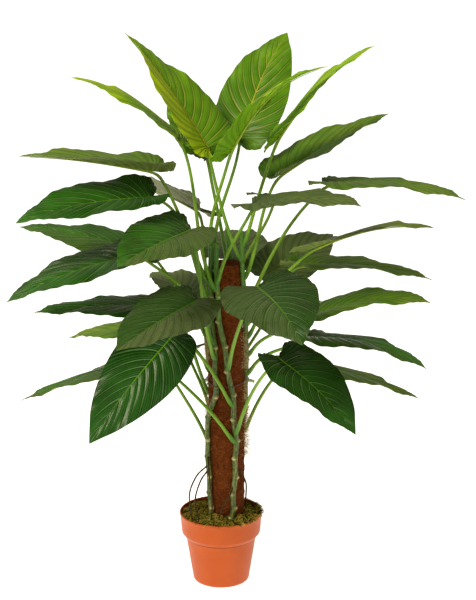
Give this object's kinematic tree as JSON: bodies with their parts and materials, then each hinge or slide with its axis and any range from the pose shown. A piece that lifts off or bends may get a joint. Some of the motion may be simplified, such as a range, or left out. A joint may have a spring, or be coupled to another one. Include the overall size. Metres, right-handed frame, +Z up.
{
  "type": "artificial potted philodendron",
  "caption": "Artificial potted philodendron: heart-shaped leaves on long petioles from stems tied round a coir pole in a round plastic nursery pot with moss.",
  "frame": {"origin": "centre of the pot's flat underside, on the surface it stands on", "axes": "+Z up; the front of the plant faces -Y and +X is to its right as seen from the front"},
  "size_m": [0.8898, 0.8637, 1.1431],
  "materials": {
    "leaf": "satin green moulded foliage with pressed veins",
    "young_leaf": "satin yellow-green moulded foliage with pressed veins",
    "stem": "matte, mottled grey-green",
    "coir": "rough fibre mat",
    "root": "matte dark brown",
    "wire": "dark coated wire",
    "moss": "dry preserved moss",
    "filler": "plain cast filling, hidden under the moss",
    "pot_plastic": "matte terracotta-coloured plastic"
  },
  "bodies": {
    "root": {"pot": "pot_plastic", "pot_fill": "filler", "moss": "moss", "coir_pole": "coir", "stem_front_left": "stem", "stem_front_right": "stem", "stem_right": "stem", "stem_back_left": "stem", "stem_back": "stem", "tie_wire": "wire", "aerial_root_1": "root", "aerial_root_2": "root", "aerial_root_3": "root", "aerial_root_4": "root", "aerial_root_5": "root", "leaf_01": "young_leaf", "leaf_02": "young_leaf", "leaf_03": "young_leaf", "leaf_04": "young_leaf", "leaf_05": "young_leaf", "leaf_06": "leaf", "leaf_07": "leaf", "leaf_08": "leaf", "leaf_09": "leaf", "leaf_10": "leaf", "leaf_11": "leaf", "leaf_12": "leaf", "leaf_13": "leaf", "leaf_14": "leaf", "leaf_15": "leaf", "leaf_16": "leaf", "leaf_17": "leaf", "leaf_18": "leaf", "leaf_19": "leaf", "leaf_20": "leaf", "leaf_21": "leaf", "leaf_22": "leaf", "leaf_23": "leaf", "leaf_24": "leaf", "leaf_25": "leaf", "leaf_26": "leaf", "leaf_27": "leaf", "leaf_28": "leaf", "leaf_29": "leaf", "leaf_30": "leaf", "leaf_31": "leaf", "leaf_32": "leaf", "leaf_33": "leaf", "leaf_34": "leaf", "leaf_35": "leaf"}
  },
  "joints": []
}
